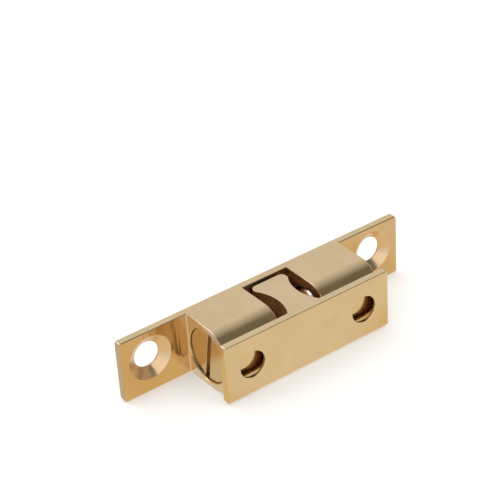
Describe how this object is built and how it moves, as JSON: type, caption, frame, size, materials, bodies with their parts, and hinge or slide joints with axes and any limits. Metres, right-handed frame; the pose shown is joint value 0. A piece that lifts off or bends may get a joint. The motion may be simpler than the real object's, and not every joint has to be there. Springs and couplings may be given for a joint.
{
  "type": "double ball catch",
  "caption": "Brass double ball catch, closed on its strike plate: sprung balls in a bored barrel hold the strike's tongue.",
  "frame": {"origin": "centre of the case's mounting face, which is the back of its plate", "axes": "+X along the catch, +Y out of the mounting face, into the cupboard's frame, so the front looks along -Y, and +Z across the plate"},
  "size_m": [0.06, 0.0136, 0.012],
  "materials": {
    "case_brass": "fine satin",
    "strike_brass": "fine satin",
    "screw_brass": "turned",
    "ball_steel": "polished",
    "spring_steel": "drawn wire"
  },
  "bodies": {
    "case": {"catch_body": "case_brass", "spring_left": "spring_steel", "spring_right": "spring_steel"},
    "strike": {"strike_plate": "strike_brass"},
    "left_ball": {"ball_left": "ball_steel"},
    "right_ball": {"ball_right": "ball_steel"},
    "left_screw": {"adjusting_screw_left": "screw_brass"},
    "right_screw": {"adjusting_screw_right": "screw_brass"}
  },
  "joints": [
    {"name": "strike_pull", "type": "slide", "parent": "case", "child": "strike", "axis": [0, -1, 0], "range_m": [0, 0.015]},
    {"name": "ball_left_press", "type": "slide", "parent": "case", "child": "left_ball", "axis": [-1, 0, 0], "range_m": [-0.00077, 0.0006], "stiffness_N_per_m": 100, "springref_m": -0.002, "deforming": ["spring_left"]},
    {"name": "ball_right_press", "type": "slide", "parent": "case", "child": "right_ball", "axis": [1, 0, 0], "range_m": [-0.00077, 0.0006], "stiffness_N_per_m": 100, "springref_m": -0.002, "deforming": ["spring_right"]},
    {"name": "screw_left_turn", "type": "hinge", "parent": "case", "child": "left_screw", "pos_m": [-0.0161, -0.0067, 0], "axis": [-1, 0, 0], "range_deg": [-360, 360]},
    {"name": "screw_right_turn", "type": "hinge", "parent": "case", "child": "right_screw", "pos_m": [0.0161, -0.0067, 0], "axis": [1, 0, 0], "range_deg": [-360, 360]}
  ]
}
